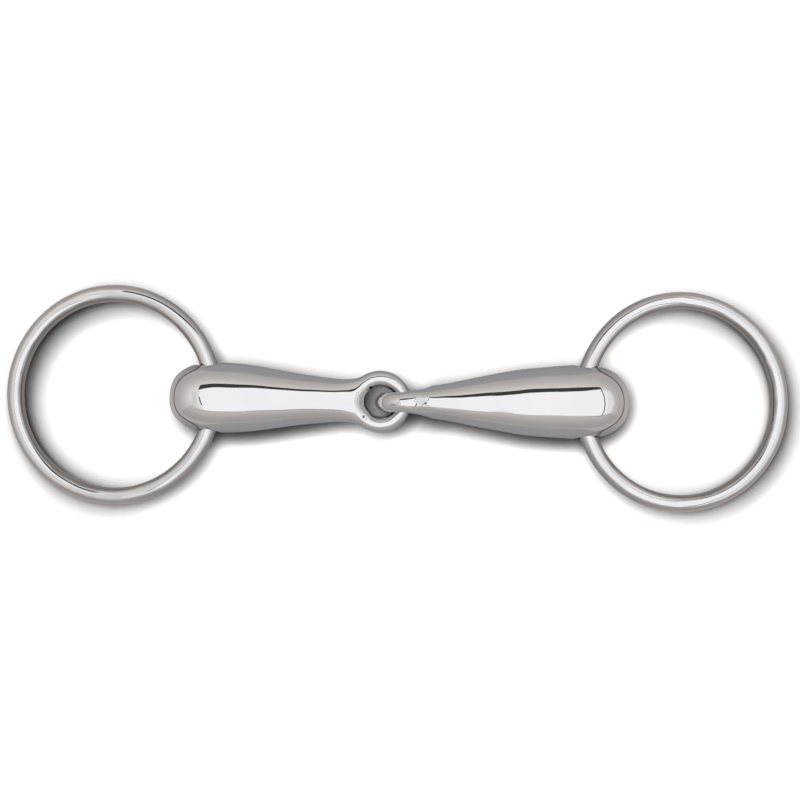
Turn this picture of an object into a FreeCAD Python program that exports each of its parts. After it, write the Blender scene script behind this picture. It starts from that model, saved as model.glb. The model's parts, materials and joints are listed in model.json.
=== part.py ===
"""Loose-ring, single-jointed, hollow-mouth snaffle bit.

Two hollow tapered cannons are linked by their eyes, one eye flat and the other upright.
Each cannon's thick end holds a lining tube and is closed by a welded domed cap.
A loose ring passes through each thick end and swings on it.

Frame, in millimetres: the bit lies on the plane z = 0, with +X along the mouthpiece to
the right ring, +Y across it and +Z up.  The origin is under the centre of its footprint.
"""
import FreeCAD
import Part
import math
import os
from FreeCAD import Vector

# Loose rings: round bar bent and welded into a circle.
RING_BAR_RADIUS = 2.85
RING_MEAN_RADIUS = 34.05

# Linked eyes, the same on both cannons: an oval bar bent round a round throat.
EYE_MEAN_RADIUS = 7.58
EYE_BAR_RADIAL = 2.75
EYE_BAR_AXIAL = 3.25
EYE_THROAT_ARC_DEG = 53.0
EYE_OUTER_RADIUS = EYE_MEAN_RADIUS + EYE_BAR_RADIAL
THROAT_CUT_HEIGHT = 8.0
LINK_PLAY = 0.96

# Shell of the hollow mouthpiece.
WALL = 2.0

# Ring passage: snug mouths through the wall, and a wider lining tube between them.
MOUTH_RADIUS = 3.75
MOUTH_RIM_RADIUS = 4.5
MOUTH_RIM_DEPTH = 0.9
MOUTH_RIM_OVERRUN = 0.5
TUBE_CLEARANCE = 0.3
TUBE_WALL = 1.1

# The left cannon points a little towards +Y.
LEFT_YAW_DEG = 1.48

# Each cannon in its own frame: x runs from the eye's centre to the ring end.
# neck: distance from the eye's centre, half-width in the eye's plane, half-thickness
# across that plane.  barrel: distance and radius, from the end of the neck to the belly,
# where the domed end starts.
LEFT_CANNON = {
    "hole": 57.25,
    "seam": 64.2,
    "tip": 70.3,
    "neck": [
        (3.8, 7.40, 2.60),
        (7.0, 7.95, 4.55),
        (10.5, 7.20, 5.25),
        (14.5, 7.22, 6.10),
        (20.0, 7.80, 7.25),
        (27.0, 8.62, 8.62),
    ],
    "barrel": [(27.0, 8.62), (36.7, 10.10), (44.5, 11.20), (51.0, 11.60), (57.0, 11.67)],
}
RIGHT_CANNON = {
    "hole": 60.75,
    "seam": 67.8,
    "tip": 74.6,
    "neck": [
        (3.8, 7.40, 2.60),
        (7.0, 7.95, 4.65),
        (10.5, 7.30, 5.35),
        (14.5, 7.35, 6.20),
        (21.0, 8.10, 7.65),
        (28.5, 9.15, 9.15),
    ],
    "barrel": [(28.5, 9.15), (39.0, 10.90), (47.5, 11.72), (53.0, 12.10), (58.1, 12.28)],
}
BARREL_FIRST_SLOPE = 0.155
BARREL_TANGENT = 8.0
CAVITY_START = 18.5
DOME_POWER = 2.4
DOME_POINTS = 9

X_AXIS = Vector(1, 0, 0)
Y_AXIS = Vector(0, 1, 0)
Z_AXIS = Vector(0, 0, 1)
ORIGIN = Vector(0, 0, 0)
FAR = 100.0
PITCH_TEST_POINTS = 400
POINT_TOLERANCE = 1e-4


def revolved(edges, axis):
    """Solid of revolution about a line through the origin."""
    face = Part.Face(Part.Wire(Part.__sortEdges__(edges)))
    return face.revolve(ORIGIN, axis, 360)


def oval(eye_axis, distance, half_in_plane, half_across):
    """Oval section of the neck, square to the cannon, for an eye whose hole runs along eye_axis."""
    centre = Vector(distance, 0, 0)
    wide = Vector(distance, half_in_plane, 0)
    thin = Vector(distance, 0, half_across)
    if eye_axis == Y_AXIS:
        wide = Vector(distance, 0, half_in_plane)
        thin = Vector(distance, -half_across, 0)
    return Part.Wire([Part.Ellipse(wide, thin, centre).toShape()])


def dome_curve(start, radius, length):
    """Outline of the domed end, a quarter of a superellipse, from its rim to its tip."""
    points = []
    for step in range(DOME_POINTS):
        turn = math.pi / 2 * step / (DOME_POINTS - 1)
        along_axis = math.sin(turn) ** (2 / DOME_POWER)
        off_axis = max(math.cos(turn), 0.0) ** (2 / DOME_POWER)
        points.append(Vector(start + length * along_axis, radius * off_axis, 0))
    points[-1].y = 0.0
    curve = Part.BSplineCurve()
    curve.interpolate(Points=points, InitialTangent=X_AXIS * length, FinalTangent=-Y_AXIS * radius)
    return curve.toShape()


def barrel_curve(cannon, inset):
    """Outline of the barrel from the neck to the belly; an inset one starts on the axis."""
    outline = [Vector(distance, radius - inset, 0) for distance, radius in cannon["barrel"]]
    first_tangent = Vector(1, BARREL_FIRST_SLOPE, 0)
    if inset:
        outline.insert(0, Vector(CAVITY_START, 0, 0))
        first_tangent = Y_AXIS
    curve = Part.BSplineCurve()
    curve.interpolate(Points=outline, InitialTangent=first_tangent * BARREL_TANGENT,
                      FinalTangent=X_AXIS * BARREL_TANGENT)
    return curve


def barrel_and_dome(cannon, inset):
    """Solid of revolution from the neck to the tip, its surface inset from the outer one."""
    curve = barrel_curve(cannon, inset)
    first = curve.StartPoint
    belly = curve.EndPoint
    tip = Vector(cannon["tip"] - inset, 0, 0)
    foot = Vector(first.x, 0, 0)
    edges = [curve.toShape(), dome_curve(belly.x, belly.y, tip.x - belly.x), Part.makeLine(tip, foot)]
    if not inset:
        edges.append(Part.makeLine(foot, first))
    return revolved(edges, X_AXIS)


def eye_point(radius, height):
    """Point of an eye's profile, which is turned about Z."""
    return Vector(radius, 0, height)


def eye_arc(first_deg, last_deg):
    """Part of the oval section of the eye's bar, from one angle to another, seen from its centre."""
    points = []
    for angle in (first_deg, (first_deg + last_deg) / 2, last_deg):
        turn = math.radians(angle)
        points.append(eye_point(EYE_MEAN_RADIUS + EYE_BAR_RADIAL * math.cos(turn),
                                EYE_BAR_AXIAL * math.sin(turn)))
    section = Part.Ellipse(eye_point(EYE_MEAN_RADIUS, EYE_BAR_AXIAL),
                           eye_point(EYE_MEAN_RADIUS + EYE_BAR_RADIAL, 0),
                           eye_point(EYE_MEAN_RADIUS, 0))
    first = section.parameter(points[0])
    last = section.parameter(points[2])
    edge = Part.ArcOfEllipse(section, first, last).toShape()
    if edge.distToShape(Part.Vertex(points[1]))[0] > POINT_TOLERANCE:
        edge = Part.ArcOfEllipse(section, last, first).toShape()
    return edge


def eye_blank():
    """Disc with the eye's rounded outer rim, before its throat is cut, about Z."""
    top = eye_point(EYE_MEAN_RADIUS, EYE_BAR_AXIAL)
    bottom = eye_point(EYE_MEAN_RADIUS, -EYE_BAR_AXIAL)
    edges = [
        eye_arc(-90, 90),
        Part.makeLine(top, eye_point(0, EYE_BAR_AXIAL)),
        Part.makeLine(eye_point(0, EYE_BAR_AXIAL), eye_point(0, -EYE_BAR_AXIAL)),
        Part.makeLine(eye_point(0, -EYE_BAR_AXIAL), bottom),
    ]
    return revolved(edges, Z_AXIS)


def throat_cutter(height):
    """The eye's rounded throat, opening into a cone above and below the bar, about Z."""
    turn = math.radians(EYE_THROAT_ARC_DEG)
    lip_radius = EYE_MEAN_RADIUS - EYE_BAR_RADIAL * math.cos(turn)
    lip_height = EYE_BAR_AXIAL * math.sin(turn)
    slope = EYE_BAR_RADIAL / EYE_BAR_AXIAL * math.tan(turn)
    end_radius = lip_radius + (height - lip_height) * slope
    lip_top = eye_point(lip_radius, lip_height)
    lip_bottom = eye_point(lip_radius, -lip_height)
    edges = [
        eye_arc(180 - EYE_THROAT_ARC_DEG, 180 + EYE_THROAT_ARC_DEG),
        Part.makeLine(lip_top, eye_point(end_radius, height)),
        Part.makeLine(eye_point(end_radius, height), eye_point(0, height)),
        Part.makeLine(eye_point(0, height), eye_point(0, -height)),
        Part.makeLine(eye_point(0, -height), eye_point(end_radius, -height)),
        Part.makeLine(eye_point(end_radius, -height), lip_bottom),
    ]
    return revolved(edges, Z_AXIS)


def turned_to(axis, shape):
    """Turn a shape made about Z so that its axis is the eye's hole axis."""
    if axis == Y_AXIS:
        shape.rotate(ORIGIN, X_AXIS, 90)
    return shape


def outer_form(cannon, eye_axis):
    """The cannon's outer shape with its eye, solid, before it is hollowed."""
    neck = Part.makeLoft([oval(eye_axis, *row) for row in cannon["neck"]], True, False)
    body = neck.fuse(barrel_and_dome(cannon, 0))
    body = body.fuse(turned_to(eye_axis, eye_blank()))
    return body.cut(turned_to(eye_axis, throat_cutter(THROAT_CUT_HEIGHT)))


def belly_radius(cannon):
    """Radius of the cannon where it is thickest."""
    return cannon["barrel"][-1][1]


def resting_pitch(cannon, height, behind):
    """Pitch in degrees at which the barrel just touches the ground.

    The cannon's axis passes at the given height through a point that lies behind the
    eye's centre, on the side away from the barrel.
    """
    pitches = []
    for point in barrel_curve(cannon, 0).discretize(PITCH_TEST_POINTS):
        span = point.x + behind
        lean = math.acos(height / math.hypot(point.y, span)) - math.atan2(span, point.y)
        pitches.append(math.degrees(lean))
    return max(pitches)


def ring_reach(cannon):
    """Distance from the ring-hole axis to the ring's centre.

    The bar is centred on the hole's axis half-way through the wall, so it can turn
    a whole swing inside two round mouths.
    """
    outside = belly_radius(cannon)
    inside = math.sqrt((outside - WALL) ** 2 - MOUTH_RADIUS ** 2)
    reaches = [math.sqrt(RING_MEAN_RADIUS ** 2 - depth ** 2) for depth in (outside, inside)]
    return sum(reaches) / 2


def mouth_bore(cannon):
    """Straight hole along Y through both walls, with a flared rim at each mouth."""
    start = Vector(cannon["hole"], -FAR / 2, 0)
    bore = Part.makeCylinder(MOUTH_RADIUS, FAR, start, Y_AXIS)
    rim_start = belly_radius(cannon) - MOUTH_RIM_DEPTH
    flare_length = MOUTH_RIM_DEPTH + MOUTH_RIM_OVERRUN
    for outward in (Y_AXIS, -Y_AXIS):
        foot = Vector(cannon["hole"], 0, 0) + outward * rim_start
        flare = Part.makeCone(MOUTH_RADIUS, MOUTH_RIM_RADIUS, flare_length, foot, outward)
        bore = bore.fuse(flare)
    return bore


def lining_tube(cannon, hollow):
    """Tube that lines the ring passage between the walls and seals the hollow."""
    offset = RING_MEAN_RADIUS - ring_reach(cannon)
    inner = offset + RING_BAR_RADIUS + TUBE_CLEARANCE
    start = Vector(cannon["hole"], -FAR / 2, 0)
    outside = Part.makeCylinder(inner + TUBE_WALL, FAR, start, Y_AXIS)
    inside = Part.makeCylinder(inner, FAR, start, Y_AXIS)
    return outside.common(hollow).cut(inside)


def cannon_pieces(cannon, eye_axis):
    """The shell with its eye, the end cap and the lining tube, in the cannon's frame."""
    hollow = barrel_and_dome(cannon, WALL)
    shell = outer_form(cannon, eye_axis).cut(hollow)
    beyond_seam = Part.makeBox(FAR, FAR, FAR, Vector(cannon["seam"], -FAR / 2, -FAR / 2))
    cap = shell.common(beyond_seam)
    body = shell.cut(beyond_seam).cut(mouth_bore(cannon))
    return {"cannon": body, "end_cap": cap, "ring_tube": lining_tube(cannon, hollow)}


def along(yaw_deg, pitch_deg):
    """Unit vector of a cannon's axis, from its eye to its ring end."""
    yaw = math.radians(yaw_deg)
    pitch = math.radians(pitch_deg)
    level = math.cos(pitch)
    return Vector(level * math.cos(yaw), level * math.sin(yaw), math.sin(pitch))


def placed(point, x_direction):
    """Placement of a frame whose x axis is given and whose y axis is level."""
    y_direction = Z_AXIS.cross(x_direction)
    y_direction.normalize()
    z_direction = x_direction.cross(y_direction)
    turn = FreeCAD.Rotation(x_direction, y_direction, z_direction, "ZXY")
    return FreeCAD.Placement(point, turn)


def moved(shape, placement):
    """A copy of the shape, taken to where the placement puts it."""
    copy = shape.copy()
    copy.transformShape(placement.toMatrix())
    return copy


def ring(hole, cannon, yaw_deg):
    """Loose ring through the hole, its outer side resting on the ground."""
    reach = ring_reach(cannon)
    drop = hole.z - RING_BAR_RADIUS
    tilt_deg = math.degrees(math.asin(drop / (reach + RING_MEAN_RADIUS)))
    outward = along(yaw_deg, -tilt_deg)
    frame = placed(hole, outward)
    flat = Part.makeTorus(RING_MEAN_RADIUS, RING_BAR_RADIUS, Vector(reach, 0, 0), Z_AXIS)
    return moved(flat, frame), tilt_deg, outward


def build():
    """All pieces at rest, and the points and angles that the joints use."""
    # The right eye stands on the ground, and so does each belly.
    right_axis = along(0.0, resting_pitch(RIGHT_CANNON, EYE_OUTER_RADIUS, 0.0))
    right_eye = Vector(0, 0, EYE_OUTER_RADIUS)
    fold_point = right_eye - right_axis * LINK_PLAY

    left_pitch = resting_pitch(LEFT_CANNON, fold_point.z, EYE_MEAN_RADIUS)
    left_axis = along(180.0 - LEFT_YAW_DEG, left_pitch)
    left_eye = fold_point + left_axis * EYE_MEAN_RADIUS

    sides = (
        ("left", LEFT_CANNON, Z_AXIS, left_eye, left_axis, 180.0 - LEFT_YAW_DEG),
        ("right", RIGHT_CANNON, Y_AXIS, right_eye, right_axis, 0.0),
    )
    nodes = {}
    facts = {"fold_point": fold_point}
    for side, cannon, eye_axis, eye, axis, yaw in sides:
        frame = placed(eye, axis)
        for name, shape in cannon_pieces(cannon, eye_axis).items():
            nodes[side + "_" + name] = moved(shape, frame)
        hole = eye + axis * cannon["hole"]
        nodes[side + "_ring"], tilt, outward = ring(hole, cannon, yaw)
        facts[side + "_eye"] = eye
        facts[side + "_axis"] = axis
        facts[side + "_hole"] = hole
        facts[side + "_ring_tilt_deg"] = tilt
        facts[side + "_ring_centre"] = hole + outward * ring_reach(cannon)
    return nodes, facts


def main():
    os.makedirs("parts", exist_ok=True)
    nodes, facts = build()
    box = Part.makeCompound(list(nodes.values())).optimalBoundingBox(False, False)
    shift = Vector(-box.Center.x, -box.Center.y, 0)
    for name, shape in nodes.items():
        shape.translate(shift)
        shape.exportStep("parts/" + name + ".step")
        print(name, "valid" if shape.isValid() else "INVALID", "solids", len(shape.Solids),
              "volume %.1f mm3" % shape.Volume)
    for name, value in facts.items():
        if isinstance(value, float):
            print(name, "%.3f" % value)
            continue
        if not name.endswith("axis"):
            value = value + shift
        print(name, "(%.4f, %.4f, %.4f)" % tuple(value))
    print("size %.2f x %.2f x %.2f mm" % (box.XLength, box.YLength, box.ZLength))
    print("lowest z %.3f" % box.ZMin)


main()
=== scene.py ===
"""Loose-ring snaffle bit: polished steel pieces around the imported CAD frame.

Lengths inside the mesh code are millimetres in each cannon's own frame (u runs from the
eye's centre to the ring end, v lies in the eye's plane, t runs across that plane); meshes
are written in metres in the row frame.
"""

import json
import math

import bmesh
import bpy
import numpy as np
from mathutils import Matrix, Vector


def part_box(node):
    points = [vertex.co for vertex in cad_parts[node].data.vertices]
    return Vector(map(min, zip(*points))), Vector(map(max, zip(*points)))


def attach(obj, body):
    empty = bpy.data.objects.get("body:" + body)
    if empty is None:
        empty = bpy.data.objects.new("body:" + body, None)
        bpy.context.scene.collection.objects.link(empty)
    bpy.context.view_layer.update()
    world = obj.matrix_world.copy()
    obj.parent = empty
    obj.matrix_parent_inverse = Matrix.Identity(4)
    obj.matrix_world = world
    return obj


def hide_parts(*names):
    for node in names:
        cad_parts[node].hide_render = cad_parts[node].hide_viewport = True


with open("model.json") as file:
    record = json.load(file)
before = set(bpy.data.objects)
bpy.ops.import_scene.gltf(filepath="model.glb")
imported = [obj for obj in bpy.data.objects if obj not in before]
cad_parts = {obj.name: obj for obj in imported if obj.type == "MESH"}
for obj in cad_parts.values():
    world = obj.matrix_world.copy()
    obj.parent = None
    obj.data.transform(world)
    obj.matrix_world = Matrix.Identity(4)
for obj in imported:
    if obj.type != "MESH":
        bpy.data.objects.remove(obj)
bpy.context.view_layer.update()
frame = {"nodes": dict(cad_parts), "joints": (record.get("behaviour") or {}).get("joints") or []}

MM = 0.001

# Rings and eyes, as in the CAD model.
RING_MEAN_RADIUS = 34.05
RING_BAR_RADIUS = 2.85
EYE_MEAN_RADIUS = 7.58
EYE_BAR_RADIAL = 2.75
EYE_BAR_AXIAL = 3.25
WALL = 2.0
CAVITY_START = 18.5
DOME_POWER = 2.4
MOUTH_RADIUS = 3.75
MOUTH_FLARE = 0.75
MOUTH_FLARE_DEPTH = 0.45

THROAT_RADIUS = 4.50    # the eye's hole at its narrowest
BLUNT = 0.0004          # rounds the crest of a bar whose section is sharper than an ellipse
SPLINE_START = 3.0      # the neck's body begins here, inside the eye's bar

NET_STEP = 0.36         # cell size of the meshes
NET_MARGIN = 0.9        # empty space kept round the piece
NET_HALF_WIDTH = 12.9

LEFT = {
    "side": "left",
    "hole": 57.25,
    "seam": 64.2,
    "belly": 54.4,
    "tip": 70.1,
    "eye_offset": 7.58,
    "width": [(2.0, 6.7), (4.5, 7.05), (7.0, 7.42), (10.5, 7.20), (14.5, 7.22), (20.0, 7.80),
              (27.0, 8.62), (36.7, 10.10), (44.5, 11.20), (50.0, 11.56), (54.4, 11.66)],
    "thickness": [(2.0, 2.30), (4.5, 3.05), (7.0, 4.35), (10.5, 5.25), (14.5, 6.10), (20.0, 7.25),
                  (27.0, 8.62), (36.7, 10.10), (44.5, 11.20), (50.0, 11.56), (54.4, 11.66)],
    "phase": 0.6,
    # The eye's bar: how fast it thickens towards the neck, and its section (2 is an ellipse).
    "bar_swell": 0.04,
    "bar_power": 2.0,
    "root_blend": 0.55,
    # Casting pits left by the polishing: place along u, place across, depth, radius.
    "pits": [(3.2, 4.5, 0.20, 0.42), (4.1, 3.7, 0.10, 0.30), (5.3, -5.2, 0.22, 0.40), (4.5, -5.9, 0.09, 0.28),
             (6.6, -2.2, 0.05, 0.30), (7.4, 2.9, 0.04, 0.35)],
}
RIGHT = {
    "side": "right",
    "hole": 60.75,
    "seam": 67.8,
    "belly": 58.1,
    "tip": 74.3,
    "eye_offset": 0.96,
    "width": [(2.0, 6.6), (4.5, 7.00), (7.0, 7.35), (10.5, 7.30), (14.5, 7.35), (21.0, 8.10),
              (28.5, 9.15), (39.0, 10.90), (47.5, 11.72), (53.0, 12.10), (58.1, 12.28)],
    "thickness": [(2.0, 3.20), (4.5, 4.00), (7.0, 4.75), (10.5, 5.55), (14.5, 6.30), (21.0, 7.65),
                  (28.5, 9.15), (39.0, 10.90), (47.5, 11.72), (53.0, 12.10), (58.1, 12.28)],
    "phase": 3.9,
    "bar_swell": 0.15,
    "bar_power": 1.72,
    "root_blend": 1.0,
    "pits": [(6.9, 0.4, 0.16, 0.34), (6.1, 0.8, 0.06, 0.26), (3.4, -0.3, 0.03, 0.30), (1.2, 0.6, 0.03, 0.30),
             (-2.3, 0.2, 0.07, 0.22), (-4.2, 0.9, 0.09, 0.22), (-3.6, 0.95, 0.08, 0.22),
             (-3.0, 1.0, 0.06, 0.20)],
}


# ---------------------------------------------------------------- smooth implicit shapes

def spline(knots):
    """Curvature-continuous curve through the knots, level at its last knot."""
    x = np.array([k[0] for k in knots])
    y = np.array([k[1] for k in knots])
    n = len(x)
    h = np.diff(x)
    matrix = np.zeros((n, n))
    right = np.zeros(n)
    matrix[0, 0] = 1.0
    for i in range(1, n - 1):
        matrix[i, i - 1:i + 2] = h[i - 1], 2 * (h[i - 1] + h[i]), h[i]
        right[i] = 6 * ((y[i + 1] - y[i]) / h[i] - (y[i] - y[i - 1]) / h[i - 1])
    matrix[-1, -2:] = h[-1], 2 * h[-1]
    right[-1] = -6 * (y[-1] - y[-2]) / h[-1]
    bend = np.linalg.solve(matrix, right)

    def value(at):
        at = np.clip(at, x[0], x[-1])
        i = np.clip(np.searchsorted(x, at) - 1, 0, n - 2)
        a = (x[i + 1] - at) / h[i]
        b = 1 - a
        return a * y[i] + b * y[i + 1] + ((a**3 - a) * bend[i] + (b**3 - b) * bend[i + 1]) * h[i]**2 / 6

    return value


def smooth_min(a, b, blend):
    return -blend * np.logaddexp(-a / blend, -b / blend)


def smooth_max(a, b, blend):
    return blend * np.logaddexp(a / blend, b / blend)


def ripple(points, phase):
    """The slight unevenness of a surface polished by hand, in millimetres."""
    total = np.zeros(len(points))
    generator = np.random.default_rng(int(phase * 10))
    for wave_length, height in ((31.0, 0.060), (19.0, 0.034), (13.0, 0.022), (9.0, 0.010), (6.0, 0.005)):
        for _ in range(5):
            direction = generator.normal(size=3)
            direction *= 2 * math.pi / wave_length / np.linalg.norm(direction)
            total += height / 5**0.5 * np.sin(points @ direction + generator.uniform(0, 2 * math.pi))
    return total


def rough_root(points, phase):
    """Fine unevenness where the neck meets the eye, which the polishing wheel hardly reaches."""
    total = np.zeros(len(points))
    generator = np.random.default_rng(int(phase * 10) + 1)
    for wave_length, height in ((4.2, 0.016), (2.9, 0.009), (1.9, 0.005)):
        for _ in range(4):
            direction = generator.normal(size=3)
            direction *= 2 * math.pi / wave_length / np.linalg.norm(direction)
            total += height / 2 * np.sin(points @ direction + generator.uniform(0, 2 * math.pi))
    return total * np.exp(-((points[:, 0] - 3.0) / 6.0)**2)


def cannon_field(cannon):
    """The cannon with its cap as one smooth field, negative inside the metal."""
    width = spline(cannon["width"])
    thickness = spline(cannon["thickness"])
    dome_length = cannon["tip"] - cannon["belly"]

    def body_field(u, v, t):
        half_width = width(u)
        half_thickness = thickness(u)
        across = np.sqrt((v / half_width)**2 + (t / half_thickness)**2) + 1e-9
        scale = across / (np.sqrt(v**2 / half_width**4 + t**2 / half_thickness**4) + 1e-9 / half_width)
        along = np.maximum(u - cannon["belly"], 0) / dome_length
        return ((across**DOME_POWER + along**DOME_POWER)**(1 / DOME_POWER) - 1) * scale

    def field(points):
        u, v, t = points.T
        body = body_field(u, v, t) - ripple(points, cannon["phase"])
        from_eye = np.hypot(u, v)
        bar_axial = EYE_BAR_AXIAL + cannon["bar_swell"] * np.logaddexp(0.0, u)
        radial = (from_eye - EYE_MEAN_RADIUS) / EYE_BAR_RADIAL
        axial = t / bar_axial
        power = cannon["bar_power"]
        ring = (np.abs(radial)**power + np.sqrt(axial**2 + BLUNT)**power)**(1 / power) + 1e-9
        eye = (ring - 1) * ring / np.sqrt((radial / EYE_BAR_RADIAL)**2 + (axial / bar_axial)**2 + 1e-9)
        solid = smooth_min(smooth_max(body, SPLINE_START - u, 0.4), eye, cannon["root_blend"])
        throat = THROAT_RADIUS + np.sqrt(4.0 + t**2) - 2.0
        solid = smooth_max(solid, throat - from_eye, 0.35)
        other = t if cannon["side"] == "left" else v
        across, up = (v, -t) if cannon["side"] == "left" else (t, v)
        solid = solid - rough_root(points, cannon["phase"])
        for place, offset, depth, size in cannon["pits"]:
            spread = ((u - place)**2 + (across - offset)**2) / (2 * size**2)
            solid = solid + depth * np.exp(-spread) * (up > 0)
        mouth = MOUTH_RADIUS + MOUTH_FLARE * np.exp(-np.maximum(-body, 0) / MOUTH_FLARE_DEPTH)
        solid = smooth_max(solid, mouth - np.hypot(u - cannon["hole"], other), 0.12)
        cavity = smooth_max(body + WALL, CAVITY_START - u, 0.5)
        return smooth_max(solid, -cavity, 0.12)

    return field


def gradient(field, points, reach=0.02):
    """Slope of the field at the points, by central differences."""
    slope = np.empty_like(points)
    for axis in range(3):
        offset = np.zeros(3)
        offset[axis] = reach
        slope[:, axis] = (field(points + offset) - field(points - offset)) / (2 * reach)
    return slope


def surface_net(field, low, high, step):
    """Quads on the field's zero surface: one vertex in each grid cell that the surface crosses."""
    axes = [np.arange(low[i], high[i] + step, step) for i in range(3)]
    shape = [len(a) for a in axes]
    grid = np.stack(np.meshgrid(*axes, indexing="ij"), axis=-1).reshape(-1, 3)
    value = field(grid).reshape(shape)
    cells = tuple(n - 1 for n in shape)
    total = np.zeros(cells + (3,))
    count = np.zeros(cells, int)
    crossings = []
    for axis in range(3):
        others = [a for a in range(3) if a != axis]
        first = np.take(value, range(shape[axis] - 1), axis)
        second = np.take(value, range(1, shape[axis]), axis)
        at = np.argwhere((first < 0) != (second < 0))
        a = first[tuple(at.T)]
        b = second[tuple(at.T)]
        place = at.astype(float)
        place[:, axis] += a / (a - b)
        corners = []
        for back in ((0, 0), (1, 0), (1, 1), (0, 1)):
            cell = at.copy()
            cell[:, others[0]] -= back[0]
            cell[:, others[1]] -= back[1]
            np.add.at(total, tuple(cell.T), place)
            np.add.at(count, tuple(cell.T), 1)
            corners.append(cell)
        outward = (a < 0) if axis != 1 else (a >= 0)
        crossings.append((corners, outward))
    used = count > 0
    number = -np.ones(cells, int)
    number[used] = np.arange(used.sum())
    vertices = total[used] / count[used][:, None] * step + np.array([a[0] for a in axes])
    faces = []
    for corners, outward in crossings:
        quad = np.stack([number[tuple(c.T)] for c in corners], axis=1)
        faces.append(np.where(outward[:, None], quad, quad[:, ::-1]))
    return vertices, np.concatenate(faces)


def settle(field, vertices, faces, rounds=4):
    """Evens the mesh out and puts every vertex exactly on the surface."""
    starts = faces.reshape(-1)
    ends = np.roll(faces, -1, axis=1).reshape(-1)
    count = np.bincount(starts, minlength=len(vertices)) + np.bincount(ends, minlength=len(vertices))
    for step in range(rounds):
        if step < rounds - 2:
            mean = np.zeros_like(vertices)
            np.add.at(mean, starts, vertices[ends])
            np.add.at(mean, ends, vertices[starts])
            vertices = 0.45 * vertices + 0.55 * mean / count[:, None]
        slope = gradient(field, vertices)
        vertices = vertices - slope * (field(vertices) / (slope**2).sum(1))[:, None]
    return vertices


def piece_mesh(name, vertices, faces, normals_at, pit_darkness_at, flat_plane, place):
    """One half of the net, cut at the seam plane and closed there, as a Blender mesh."""
    bm = bmesh.new()
    added = [bm.verts.new(v) for v in vertices]
    for face in faces:
        bm.faces.new([added[i] for i in face])
    station, keep_before = flat_plane
    result = bmesh.ops.bisect_plane(
        bm, geom=bm.verts[:] + bm.edges[:] + bm.faces[:], dist=1e-5, plane_co=(station, 0, 0),
        plane_no=(1, 0, 0), clear_outer=keep_before, clear_inner=not keep_before)
    rim = [g for g in result["geom_cut"] if isinstance(g, bmesh.types.BMEdge)]
    bmesh.ops.bridge_loops(bm, edges=rim)
    bmesh.ops.triangulate(bm, faces=[f for f in bm.faces if len(f.verts) > 4])
    bmesh.ops.recalc_face_normals(bm, faces=bm.faces[:])
    bm.verts.index_update()
    at = np.array([v.co for v in bm.verts])
    normals = normals_at(at)
    loop_normals = []
    corners = []
    for face in bm.faces:
        indices = [v.index for v in face.verts]
        corners.append(indices)
        on_seam = all(abs(at[i, 0] - station) < 1e-4 for i in indices)
        for i in indices:
            loop_normals.append((1.0 if keep_before else -1.0, 0, 0) if on_seam else normals[i])
    bm.free()
    origin, turn = place
    mesh = bpy.data.meshes.new(name)
    mesh.from_pydata((at @ turn) * MM + origin, [], corners)
    mesh.polygons.foreach_set("use_smooth", np.ones(len(corners), bool))
    mesh.normals_split_custom_set((np.array(loop_normals) @ turn).tolist())
    mesh.update()
    # Share of the darker pit colour at each vertex, read by the material.
    pit_darkness = mesh.attributes.new("pit_darkness", "FLOAT", "POINT")
    pit_darkness.data.foreach_set("value", pit_darkness_at(at).astype(np.float32))
    return mesh


def new_object(name, mesh, material, body, replaced):
    """A visible piece that rides on a body and stands in for a CAD node."""
    piece = bpy.data.objects.new(name, mesh)
    bpy.context.collection.objects.link(piece)
    mesh.materials.append(material)
    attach(piece, body)
    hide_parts(replaced)
    return piece


# ---------------------------------------------------------------- materials

def node(tree, kind, **values):
    made = tree.nodes.new(kind)
    for key, value in values.items():
        setattr(made, key, value)
    return made


def scaled_noise(tree, coordinates, scale, stretch=(1, 1, 1), detail=3.0, roughness=0.55, turn=(0, 0, 0)):
    mapping = node(tree, "ShaderNodeMapping")
    mapping.inputs["Scale"].default_value = stretch
    mapping.inputs["Rotation"].default_value = turn
    tree.links.new(coordinates.outputs["Object"], mapping.inputs["Vector"])
    noise = node(tree, "ShaderNodeTexNoise")
    noise.inputs["Scale"].default_value = scale
    noise.inputs["Detail"].default_value = detail
    noise.inputs["Roughness"].default_value = roughness
    tree.links.new(mapping.outputs["Vector"], noise.inputs["Vector"])
    return noise.outputs["Fac"]


def ranged(tree, source, from_low, from_high, low, high):
    made = node(tree, "ShaderNodeMapRange")
    for socket, value in zip(("From Min", "From Max", "To Min", "To Max"), (from_low, from_high, low, high)):
        made.inputs[socket].default_value = value
    tree.links.new(source, made.inputs["Value"])
    return made.outputs["Result"]


def combined(tree, operation, a, b):
    made = node(tree, "ShaderNodeMath", operation=operation)
    for i, source in enumerate((a, b)):
        if isinstance(source, (int, float)):
            made.inputs[i].default_value = source
        else:
            tree.links.new(source, made.inputs[i])
    return made.outputs["Value"]


def colour_ramp(tree, source, stops):
    """Colour read off a ramp of (position, colour) stops."""
    ramp = node(tree, "ShaderNodeValToRGB")
    while len(ramp.color_ramp.elements) < len(stops):
        ramp.color_ramp.elements.new(0.5)
    for element, (position, colour) in zip(ramp.color_ramp.elements, stops):
        element.position = position
        element.color = (*colour, 1)
    tree.links.new(source, ramp.inputs["Fac"])
    return ramp.outputs["Color"]


def mixed_colour(tree, share, first, second):
    """Blend of two colours, each a value or a socket; share is the second one's part."""
    mix = node(tree, "ShaderNodeMix", data_type="RGBA")
    tree.links.new(share, mix.inputs[0])
    for socket, source in ((mix.inputs[6], first), (mix.inputs[7], second)):
        if isinstance(source, tuple):
            socket.default_value = (*source, 1)
        else:
            tree.links.new(source, socket)
    return mix.outputs[2]


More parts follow.
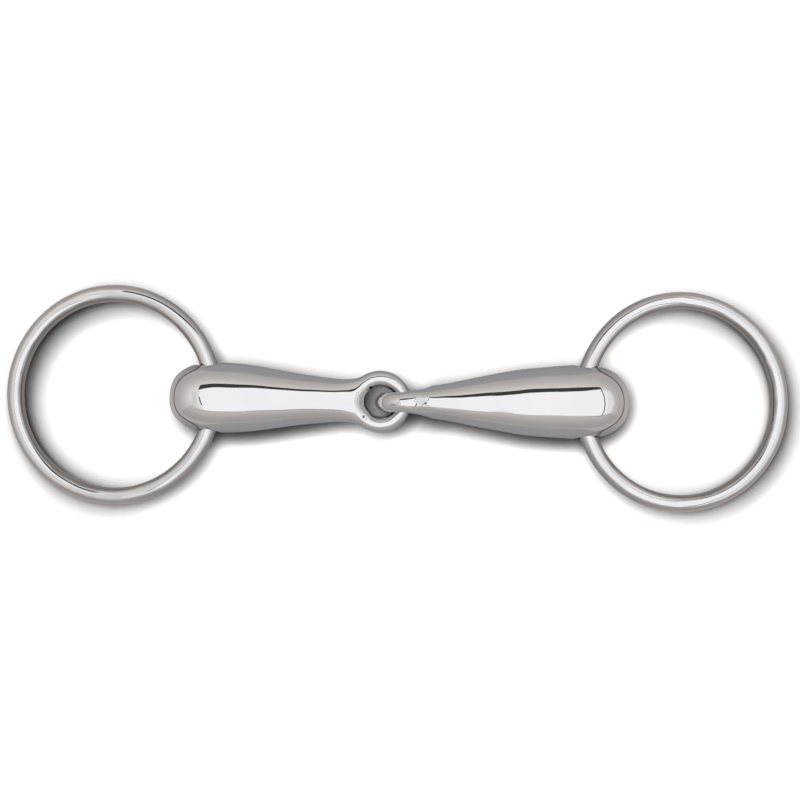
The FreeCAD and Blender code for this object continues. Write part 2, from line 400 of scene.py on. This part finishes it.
def steel(name, light, dark, smoothest, roughest, scratch_depth):
    """Polished stainless steel: faint cloudiness, fine scratches and an uneven polish."""
    material = bpy.data.materials.new(name)
    material.use_nodes = True
    tree = material.node_tree
    shader = tree.nodes["Principled BSDF"]
    shader.inputs["Metallic"].default_value = 1.0
    coordinates = node(tree, "ShaderNodeTexCoord")
    cloud = scaled_noise(tree, coordinates, 55.0, detail=4.0)
    cloudy = mixed_colour(tree, ranged(tree, cloud, 0.35, 0.65, 0.0, 1.0), light, dark)
    tree.links.new(cloudy, shader.inputs["Base Color"])
    scratches = None
    for turn, scale in (((0.3, 0.2, 0.5), 900.0), ((1.1, 0.7, 2.1), 1100.0), ((2.0, 1.3, 0.1), 800.0)):
        lines = scaled_noise(tree, coordinates, scale, stretch=(1.0, 0.05, 0.05), detail=2.0, turn=turn)
        lines = ranged(tree, lines, 0.60, 0.72, 0.0, 1.0)
        scratches = lines if scratches is None else combined(tree, "MAXIMUM", scratches, lines)
    patches = ranged(tree, scaled_noise(tree, coordinates, 90.0, detail=5.0), 0.4, 0.7, 0.0, 1.0)
    wear_and_side_shade = combined(tree, "MULTIPLY", scratches, patches)
    haze = ranged(tree, scaled_noise(tree, coordinates, 160.0, detail=6.0), 0.3, 0.7, smoothest, roughest)
    tree.links.new(combined(tree, "ADD", haze, combined(tree, "MULTIPLY", wear_and_side_shade, 0.06)),
                   shader.inputs["Roughness"])
    bump = node(tree, "ShaderNodeBump")
    bump.inputs["Strength"].default_value = 1.0
    bump.inputs["Distance"].default_value = scratch_depth
    height = combined(tree, "SUBTRACT", scaled_noise(tree, coordinates, 420.0, detail=4.0), wear_and_side_shade)
    tree.links.new(height, bump.inputs["Height"])
    tree.links.new(bump.outputs["Normal"], shader.inputs["Normal"])
    return material


def add_ring_side_shade(material, centre, axis):
    """Painted shade on the sides of the ring's bar, darker than its lit faces and most on the inner side, its
    edge broken up by drawn lines.
    """
    tree = material.node_tree
    shader = tree.nodes["Principled BSDF"]
    polish = shader.inputs["Base Color"].links[0].from_socket
    coordinates = node(tree, "ShaderNodeTexCoord")
    offset = node(tree, "ShaderNodeVectorMath", operation="SUBTRACT")
    offset.inputs[1].default_value = centre
    tree.links.new(coordinates.outputs["Object"], offset.inputs[0])
    height = node(tree, "ShaderNodeVectorMath", operation="DOT_PRODUCT")
    height.inputs[1].default_value = axis
    tree.links.new(offset.outputs["Vector"], height.inputs[0])
    distance = node(tree, "ShaderNodeVectorMath", operation="LENGTH")
    tree.links.new(offset.outputs["Vector"], distance.inputs[0])
    outward = ranged(tree, distance.outputs["Value"], (RING_MEAN_RADIUS - RING_BAR_RADIUS) * MM,
                     (RING_MEAN_RADIUS + RING_BAR_RADIUS) * MM, -1.0, 1.0)
    section = node(tree, "ShaderNodeCombineXYZ")
    tree.links.new(outward, section.inputs["X"])
    tree.links.new(combined(tree, "MULTIPLY", height.outputs["Value"], 1 / (RING_BAR_RADIUS * MM)),
                   section.inputs["Y"])
    lines = node(tree, "ShaderNodeTexNoise")
    lines.inputs["Scale"].default_value = 9.0
    lines.inputs["Detail"].default_value = 4.0
    tree.links.new(section.outputs["Vector"], lines.inputs["Vector"])
    blotches = scaled_noise(tree, coordinates, 130.0, detail=5.0)
    uneven = combined(tree, "ADD", combined(tree, "MULTIPLY", lines.outputs["Fac"], 0.5),
                      combined(tree, "MULTIPLY", blotches, 0.5))
    shift = combined(tree, "MULTIPLY", combined(tree, "SUBTRACT", uneven, 0.5), 1.25)
    # Where the painted side shade falls: outward across the bar, shifted by the drawn lines and blotches.
    wear_and_side_shade = combined(tree, "ADD", outward, shift)
    inner = ranged(tree, wear_and_side_shade, -0.42, -0.72, 0.0, 1.0)
    outer = ranged(tree, wear_and_side_shade, 0.34, 0.66, 0.0, 1.0)
    last = polish
    for mask, tone in ((inner, RING_INNER_SHADE), (outer, RING_OUTER_SHADE)):
        last = mixed_colour(tree, mask, last, tone)
    tree.links.new(last, shader.inputs["Base Color"])
    return material


def add_pit_darkening(material):
    """Darker colour in the casting pits, as much as the mesh attribute gives."""
    tree = material.node_tree
    shader = tree.nodes["Principled BSDF"]
    clean = shader.inputs["Base Color"].links[0].from_socket
    held = node(tree, "ShaderNodeAttribute", attribute_name="pit_darkness")
    share = ranged(tree, held.outputs["Fac"], 0.15, 0.75, 0.0, 1.0)
    tree.links.new(mixed_colour(tree, share, clean, PIT_DARK_COLOUR), shader.inputs["Base Color"])
    return material


# Colour that the casting pits are darkened towards.
PIT_DARK_COLOUR = (0.045, 0.04, 0.035)
# Colours of the painted shade on the ring bar's inner and outer sides.
RING_INNER_SHADE = (0.31, 0.305, 0.30)
RING_OUTER_SHADE = (0.50, 0.49, 0.495)
MIRROR = steel("mirror_steel", (0.665, 0.655, 0.655), (0.635, 0.63, 0.632), 0.02, 0.05, 2.0e-6)
add_pit_darkening(MIRROR)
TUBE_STEEL = steel("tube_dull_steel", (0.50, 0.49, 0.48), (0.38, 0.37, 0.36), 0.28, 0.42, 8.0e-6)


# ---------------------------------------------------------------- pieces

joints = {j["name"]: j for j in frame["joints"]}
fold = np.array(joints["centre_fold"]["pos_m"])


def build_cannon(cannon):
    side = cannon["side"]
    hinge = joints[side + "_ring_swing"]
    hole = np.array(hinge["pos_m"])
    u_axis = (hole - fold) / np.linalg.norm(hole - fold)
    origin = fold + u_axis * cannon["eye_offset"] * MM
    across = np.array([0.0, 1.0, 0.0]) - u_axis[1] * u_axis
    across /= np.linalg.norm(across)
    upright = np.cross(u_axis, across)
    if side == "left":
        turn = np.stack([u_axis, across, upright])
    else:
        turn = np.stack([u_axis, upright, -across])
    field = cannon_field(cannon)
    low = (-EYE_MEAN_RADIUS - EYE_BAR_RADIAL - NET_MARGIN, -NET_HALF_WIDTH, -NET_HALF_WIDTH)
    high = (cannon["tip"] + NET_MARGIN, NET_HALF_WIDTH, NET_HALF_WIDTH)
    vertices, faces = surface_net(field, low, high, NET_STEP)
    vertices = settle(field, vertices, faces)

    def normals_at(points):
        slope = gradient(field, points)
        return slope / np.linalg.norm(slope, axis=1)[:, None]

    # How much each casting pit darkens the colour: most at its middle, and only on the upper side.
    def pit_darkness_at(points):
        u, v, t = points.T
        across_at, up = (v, -t) if side == "left" else (t, v)
        dark = np.zeros(len(points))
        for place, offset, depth, size in cannon["pits"]:
            spread = ((u - place)**2 + (across_at - offset)**2) / (2 * (0.8 * size)**2)
            dark = np.maximum(dark, min(depth / 0.12, 1.0) * np.exp(-spread) * (up > 0))
        return dark

    for part, before in (("cannon", True), ("end_cap", False)):
        mesh = piece_mesh(f"{side}_{part}_skin", vertices, faces, normals_at, pit_darkness_at,
                          (cannon["seam"], before), (origin, turn))
        new_object(f"{side}_{part}_skin", mesh, MIRROR, f"{side}_cannon", f"{side}_{part}")


def build_ring(side, hinge):
    """Round bar bent into a circle: slightly uneven bend and bar."""
    low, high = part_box(side + "_ring")
    centre = (np.array(low) + np.array(high)) / 2
    hole = np.array(hinge["pos_m"])
    outwards = centre - hole
    axis = np.array(hinge["axis"])
    outwards -= axis * (outwards @ axis)
    outwards /= np.linalg.norm(outwards)
    sideways = axis / np.linalg.norm(axis)
    if sideways[1] < 0:
        sideways = -sideways
    upright = np.cross(outwards, sideways)
    around, section = 720, 48
    a = np.repeat(np.arange(around) * 2 * math.pi / around, section)
    b = np.tile(np.arange(section) * 2 * math.pi / section, around)
    seed = 1.3 if side == "left" else 4.1
    bend = 0.05 * np.sin(2 * a + seed) + 0.04 * np.sin(3 * a + 2 * seed) + 0.02 * np.sin(7 * a + seed)
    bar = (0.02 * np.sin(5 * a + seed) + 0.012 * np.sin(11 * a + 3 * b + seed)
           + 0.010 * np.sin(17 * a - 2 * b + 2 * seed))
    radius = RING_BAR_RADIUS + bar
    main = RING_MEAN_RADIUS + bend
    flat = main + radius * np.cos(b)
    lift = radius * np.sin(b) + 0.04 * np.sin(2 * a + 2.2 * seed)
    at = ((flat * np.cos(a))[:, None] * outwards + (flat * np.sin(a))[:, None] * sideways
          + lift[:, None] * upright) * MM + centre
    index = np.arange(around * section).reshape(around, section)
    step_a = np.roll(index, -1, axis=0)
    faces = np.stack([index, step_a, np.roll(step_a, -1, axis=1), np.roll(index, -1, axis=1)], axis=-1)
    mesh = bpy.data.meshes.new(side + "_loose_ring")
    mesh.from_pydata(at, [], faces.reshape(-1, 4).tolist())
    mesh.polygons.foreach_set("use_smooth", np.ones(around * section, bool))
    mesh.update()
    material = steel(side + "_ring_steel", (0.675, 0.665, 0.665), (0.61, 0.605, 0.605), 0.04, 0.09, 3.0e-6)
    # Painted shade on the ring bar's sides.
    add_ring_side_shade(material, centre, upright)
    new_object(side + "_loose_ring", mesh, material, side + "_ring", side + "_ring")


for cannon in (LEFT, RIGHT):
    build_cannon(cannon)
    build_ring(cannon["side"], joints[cannon["side"] + "_ring_swing"])
    tube = frame["nodes"][cannon["side"] + "_ring_tube"]
    tube.data.materials.clear()
    tube.data.materials.append(TUBE_STEEL)


# ---------------------------------------------------------------- camera, floor and light

camera_data = bpy.data.cameras.new("camera")
camera_data.lens = 86.4
camera_data.sensor_width = 36.0
camera_data.dof.use_dof = False
camera = bpy.data.objects.new("camera", camera_data)
bpy.context.collection.objects.link(camera)
camera.location = (0.0008, -0.00054, 0.6517)
bpy.context.scene.camera = camera
bpy.context.scene.view_settings.view_transform = "Standard"


def emitter(name, colour, strength):
    material = bpy.data.materials.new(name)
    material.use_nodes = True
    tree = material.node_tree
    tree.nodes.clear()
    emission = node(tree, "ShaderNodeEmission")
    emission.inputs["Color"].default_value = (*colour, 1)
    emission.inputs["Strength"].default_value = strength
    output = node(tree, "ShaderNodeOutputMaterial")
    tree.links.new(emission.outputs[0], output.inputs["Surface"])
    return material


def staged(name, corners, faces, material, glossy, seen):
    """A flat stage piece, seen either only in reflections or only directly."""
    mesh = bpy.data.meshes.new(name)
    mesh.from_pydata(corners, [], faces)
    mesh.materials.append(material)
    made = bpy.data.objects.new(name, mesh)
    bpy.context.collection.objects.link(made)
    made.visible_glossy = glossy
    made.visible_camera = seen
    made.visible_diffuse = seen
    made.visible_shadow = False
    return made


def sheet_of(name, corners, height, colour, strength):
    return staged(name, [(x, y, height) for x, y in corners], [range(len(corners))],
                  emitter(name, colour, strength), True, False)


# The softbox that the polished tops reflect, the dark beam beside it, its dark trims and the
# brighter walls past its two ends. All are seen only in reflections.
PANEL_HEIGHT = 0.80
PANEL_LEFT, PANEL_RIGHT = -0.36, 0.56
TRIM = 0.045
white = (0.985, 0.985, 1.0)
sheet_of("softbox", [(PANEL_LEFT + 0.055, -0.73), (PANEL_RIGHT, -0.85), (PANEL_RIGHT, 0.73),
                     (PANEL_LEFT, 0.37)], PANEL_HEIGHT, white, 1.345)
sheet_of("beam", [(PANEL_LEFT - 0.04, 0.36), (PANEL_RIGHT + TRIM, 0.745), (PANEL_RIGHT + TRIM, 0.95),
                  (PANEL_LEFT - 0.04, 0.70)], PANEL_HEIGHT, (0.9, 0.95, 1.0), 0.065)
sheet_of("left_trim", [(PANEL_LEFT + 0.035, -0.40), (PANEL_LEFT + 0.065, -0.40), (PANEL_LEFT + 0.03, 0.02),
                       (PANEL_LEFT, 0.02)], PANEL_HEIGHT - 0.001, (1, 1, 1), 0.12)
sheet_of("left_window", [(PANEL_LEFT - 0.07, -0.66), (PANEL_LEFT + 0.055, -0.73), (PANEL_LEFT, 0.37),
                         (PANEL_LEFT - 0.07, 0.32)], PANEL_HEIGHT + 0.001, white, 1.12)
sheet_of("left_glow", [(PANEL_LEFT - 0.25, -0.60), (PANEL_LEFT - 0.07, -0.66), (PANEL_LEFT - 0.07, 0.32),
                       (PANEL_LEFT - 0.25, 0.30)], PANEL_HEIGHT + 0.001, white, 0.94)
sheet_of("right_trim", [(PANEL_RIGHT, -0.85), (PANEL_RIGHT + TRIM, -0.86), (PANEL_RIGHT + TRIM, 0.75),
                        (PANEL_RIGHT, 0.73)], PANEL_HEIGHT, (0.85, 0.8, 1.0), 0.09)
sheet_of("right_window", [(PANEL_RIGHT + TRIM, -0.80), (0.74, -0.80), (0.74, 0.74),
                          (PANEL_RIGHT + TRIM, 0.72)], PANEL_HEIGHT, white, 1.28)
sheet_of("right_glow", [(0.74, -0.80), (1.15, -0.80), (1.15, 0.76), (0.74, 0.74)], PANEL_HEIGHT, white, 1.12)
sheet_of("low_trim", [(0.10, -0.79), (PANEL_RIGHT + TRIM, -0.855), (PANEL_RIGHT + TRIM, -0.915),
                      (0.10, -0.805)], PANEL_HEIGHT - 0.001, (1, 1, 1), 0.10)


def dome_material():
    """Pale walls round the object, seen only in reflections: dimmer towards the floor."""
    material = bpy.data.materials.new("walls")
    material.use_nodes = True
    tree = material.node_tree
    tree.nodes.clear()
    geometry = node(tree, "ShaderNodeNewGeometry")
    unit = node(tree, "ShaderNodeVectorMath", operation="NORMALIZE")
    tree.links.new(geometry.outputs["Position"], unit.inputs[0])
    split = node(tree, "ShaderNodeSeparateXYZ")
    tree.links.new(unit.outputs["Vector"], split.inputs[0])

    def level_by_height(*levels):
        return colour_ramp(tree, split.outputs["Z"], [(at, (level,) * 3) for at, level in levels])

    x_size = combined(tree, "ABSOLUTE", split.outputs["X"], 0)
    tall = level_by_height((0.0, 0.60), (0.24, 0.66), (0.47, 0.77), (0.63, 0.90), (0.755, 1.05),
                           (0.843, 1.18), (0.91, 1.37), (1.0, 1.40))
    near = level_by_height((0.0, 0.52), (0.156, 0.52), (0.396, 0.59), (0.595, 0.72), (0.75, 0.80), (1.0, 0.9))
    window = combined(tree, "MULTIPLY", ranged(tree, split.outputs["Z"], 0.45, 0.68, 0.0, 0.5),
                      ranged(tree, split.outputs["X"], 0.45, 0.70, 0.0, 1.0))
    corner = combined(tree, "ADD", combined(tree, "MULTIPLY", x_size, -0.70),
                      combined(tree, "MULTIPLY", split.outputs["Y"], -1.0))
    mix = node(tree, "ShaderNodeMix", data_type="FLOAT")
    tree.links.new(ranged(tree, corner, 0.0, 0.03, 0.0, 1.0), mix.inputs[0])
    tree.links.new(combined(tree, "ADD", tall, window), mix.inputs[2])
    tree.links.new(near, mix.inputs[3])
    emission = node(tree, "ShaderNodeEmission")
    emission.inputs["Color"].default_value = (1.0, 0.945, 0.905, 1)
    tree.links.new(mix.outputs[0], emission.inputs["Strength"])
    output = node(tree, "ShaderNodeOutputMaterial")
    tree.links.new(emission.outputs[0], output.inputs["Surface"])
    return material


def dome():
    """Half sphere that carries the walls, its rim just under the floor."""
    radius, rows, columns = 3.0, 24, 48
    corners = []
    for row in range(rows + 1):
        up = math.pi / 2 * row / rows
        for column in range(columns):
            turn = 2 * math.pi * column / columns
            corners.append((radius * math.cos(up) * math.cos(turn), radius * math.cos(up) * math.sin(turn),
                            radius * math.sin(up) - 0.02))
    faces = []
    for row in range(rows):
        for column in range(columns):
            after = (column + 1) % columns
            faces.append((row * columns + column, row * columns + after,
                          (row + 1) * columns + after, (row + 1) * columns + column))
    return staged("walls", corners, faces, dome_material(), True, False)


dome()

FLOOR = [(-3.2, -3.2), (3.2, -3.2), (3.2, 3.2), (-3.2, 3.2)]


def white_floor():
    """The floor as it is seen: white, with a soft shadow painted into its colour from ambient occlusion,
    leaning away from the upper left.
    """
    material = bpy.data.materials.new("white_floor")
    material.use_nodes = True
    shader = material.node_tree.nodes["Principled BSDF"]
    tree = material.node_tree
    shade = node(tree, "ShaderNodeAmbientOcclusion", samples=16)
    shade.inputs["Distance"].default_value = 0.010
    lean = Vector((-0.45, 0.45, 1.0)).normalized()
    leaning = node(tree, "ShaderNodeCombineXYZ")
    for socket, value in zip(leaning.inputs, lean):
        socket.default_value = value
    tree.links.new(leaning.outputs["Vector"], shade.inputs["Normal"])
    # Painted shadow: floor colour set by ambient occlusion, darkest near the object and white in the open.
    levels = [(0.0, 0.50), (0.20, 0.38), (0.36, 0.09), (0.55, 0.12), (0.68, 0.30), (0.79, 0.54),
              (0.90, 0.77), (0.99, 0.93)]
    stops = [(at, (level, level * 0.985, level * 0.975)) for at, level in levels]
    tree.links.new(colour_ramp(tree, shade.outputs["AO"], stops), shader.inputs["Base Color"])
    shader.inputs["Roughness"].default_value = 1.0
    shader.inputs["Specular IOR Level"].default_value = 0.0
    return material


staged("floor", [(x, y, 0.0) for x, y in FLOOR], [(0, 1, 2, 3)], white_floor(), False, True)


def floor_glow():
    """The floor as polished metal reflects it: a dim glow, with a painted shadow where the object is near."""
    material = bpy.data.materials.new("floor_glow")
    material.use_nodes = True
    tree = material.node_tree
    tree.nodes.clear()
    shade = node(tree, "ShaderNodeAmbientOcclusion", samples=8)
    shade.inputs["Distance"].default_value = 0.03
    emission = node(tree, "ShaderNodeEmission")
    geometry = node(tree, "ShaderNodeNewGeometry")
    split = node(tree, "ShaderNodeSeparateXYZ")
    tree.links.new(geometry.outputs["Position"], split.inputs[0])
    past_ends = ranged(tree, combined(tree, "ABSOLUTE", split.outputs["X"], 0), 0.072, 0.090, 0.0, 1.0)
    far = combined(tree, "DIVIDE", combined(tree, "ABSOLUTE", split.outputs["Y"], 0), 0.4)
    # Painted shade: the reflected floor darker close beside the object, lighter further out.
    beside = colour_ramp(tree, far, [(0.04, (0.40, 0.40, 0.42)), (0.12, (0.43, 0.42, 0.44)),
                                     (0.37, (0.475, 0.455, 0.455)), (1.0, (0.53, 0.50, 0.48))])
    colour = mixed_colour(tree, past_ends, beside, (0.62, 0.57, 0.55))
    tree.links.new(colour, emission.inputs["Color"])
    # Painted shadow: the glow dimmed by ambient occlusion near the object.
    tree.links.new(ranged(tree, shade.outputs["AO"], 0.20, 0.85, 0.15, 1.0), emission.inputs["Strength"])
    output = node(tree, "ShaderNodeOutputMaterial")
    tree.links.new(emission.outputs[0], output.inputs["Surface"])
    return material


staged("floor_reflected", [(x, y, 0.0) for x, y in FLOOR], [(0, 1, 2, 3)], floor_glow(), True, False)

world = bpy.data.worlds.new("world")
bpy.context.scene.world = world
world.use_nodes = True
world.node_tree.nodes["Background"].inputs["Color"].default_value = (1.0, 1.0, 1.0, 1)
world.node_tree.nodes["Background"].inputs["Strength"].default_value = 0.42
world.cycles_visibility.glossy = False

key = bpy.data.lights.new("key", "SUN")
key.energy = 3.3
key.angle = math.radians(28)
key_object = bpy.data.objects.new("key", key)
bpy.context.collection.objects.link(key_object)
key_object.rotation_euler = Vector((-0.12, 0.14, 1.0)).to_track_quat("Z", "Y").to_euler()
key_object.visible_glossy = False
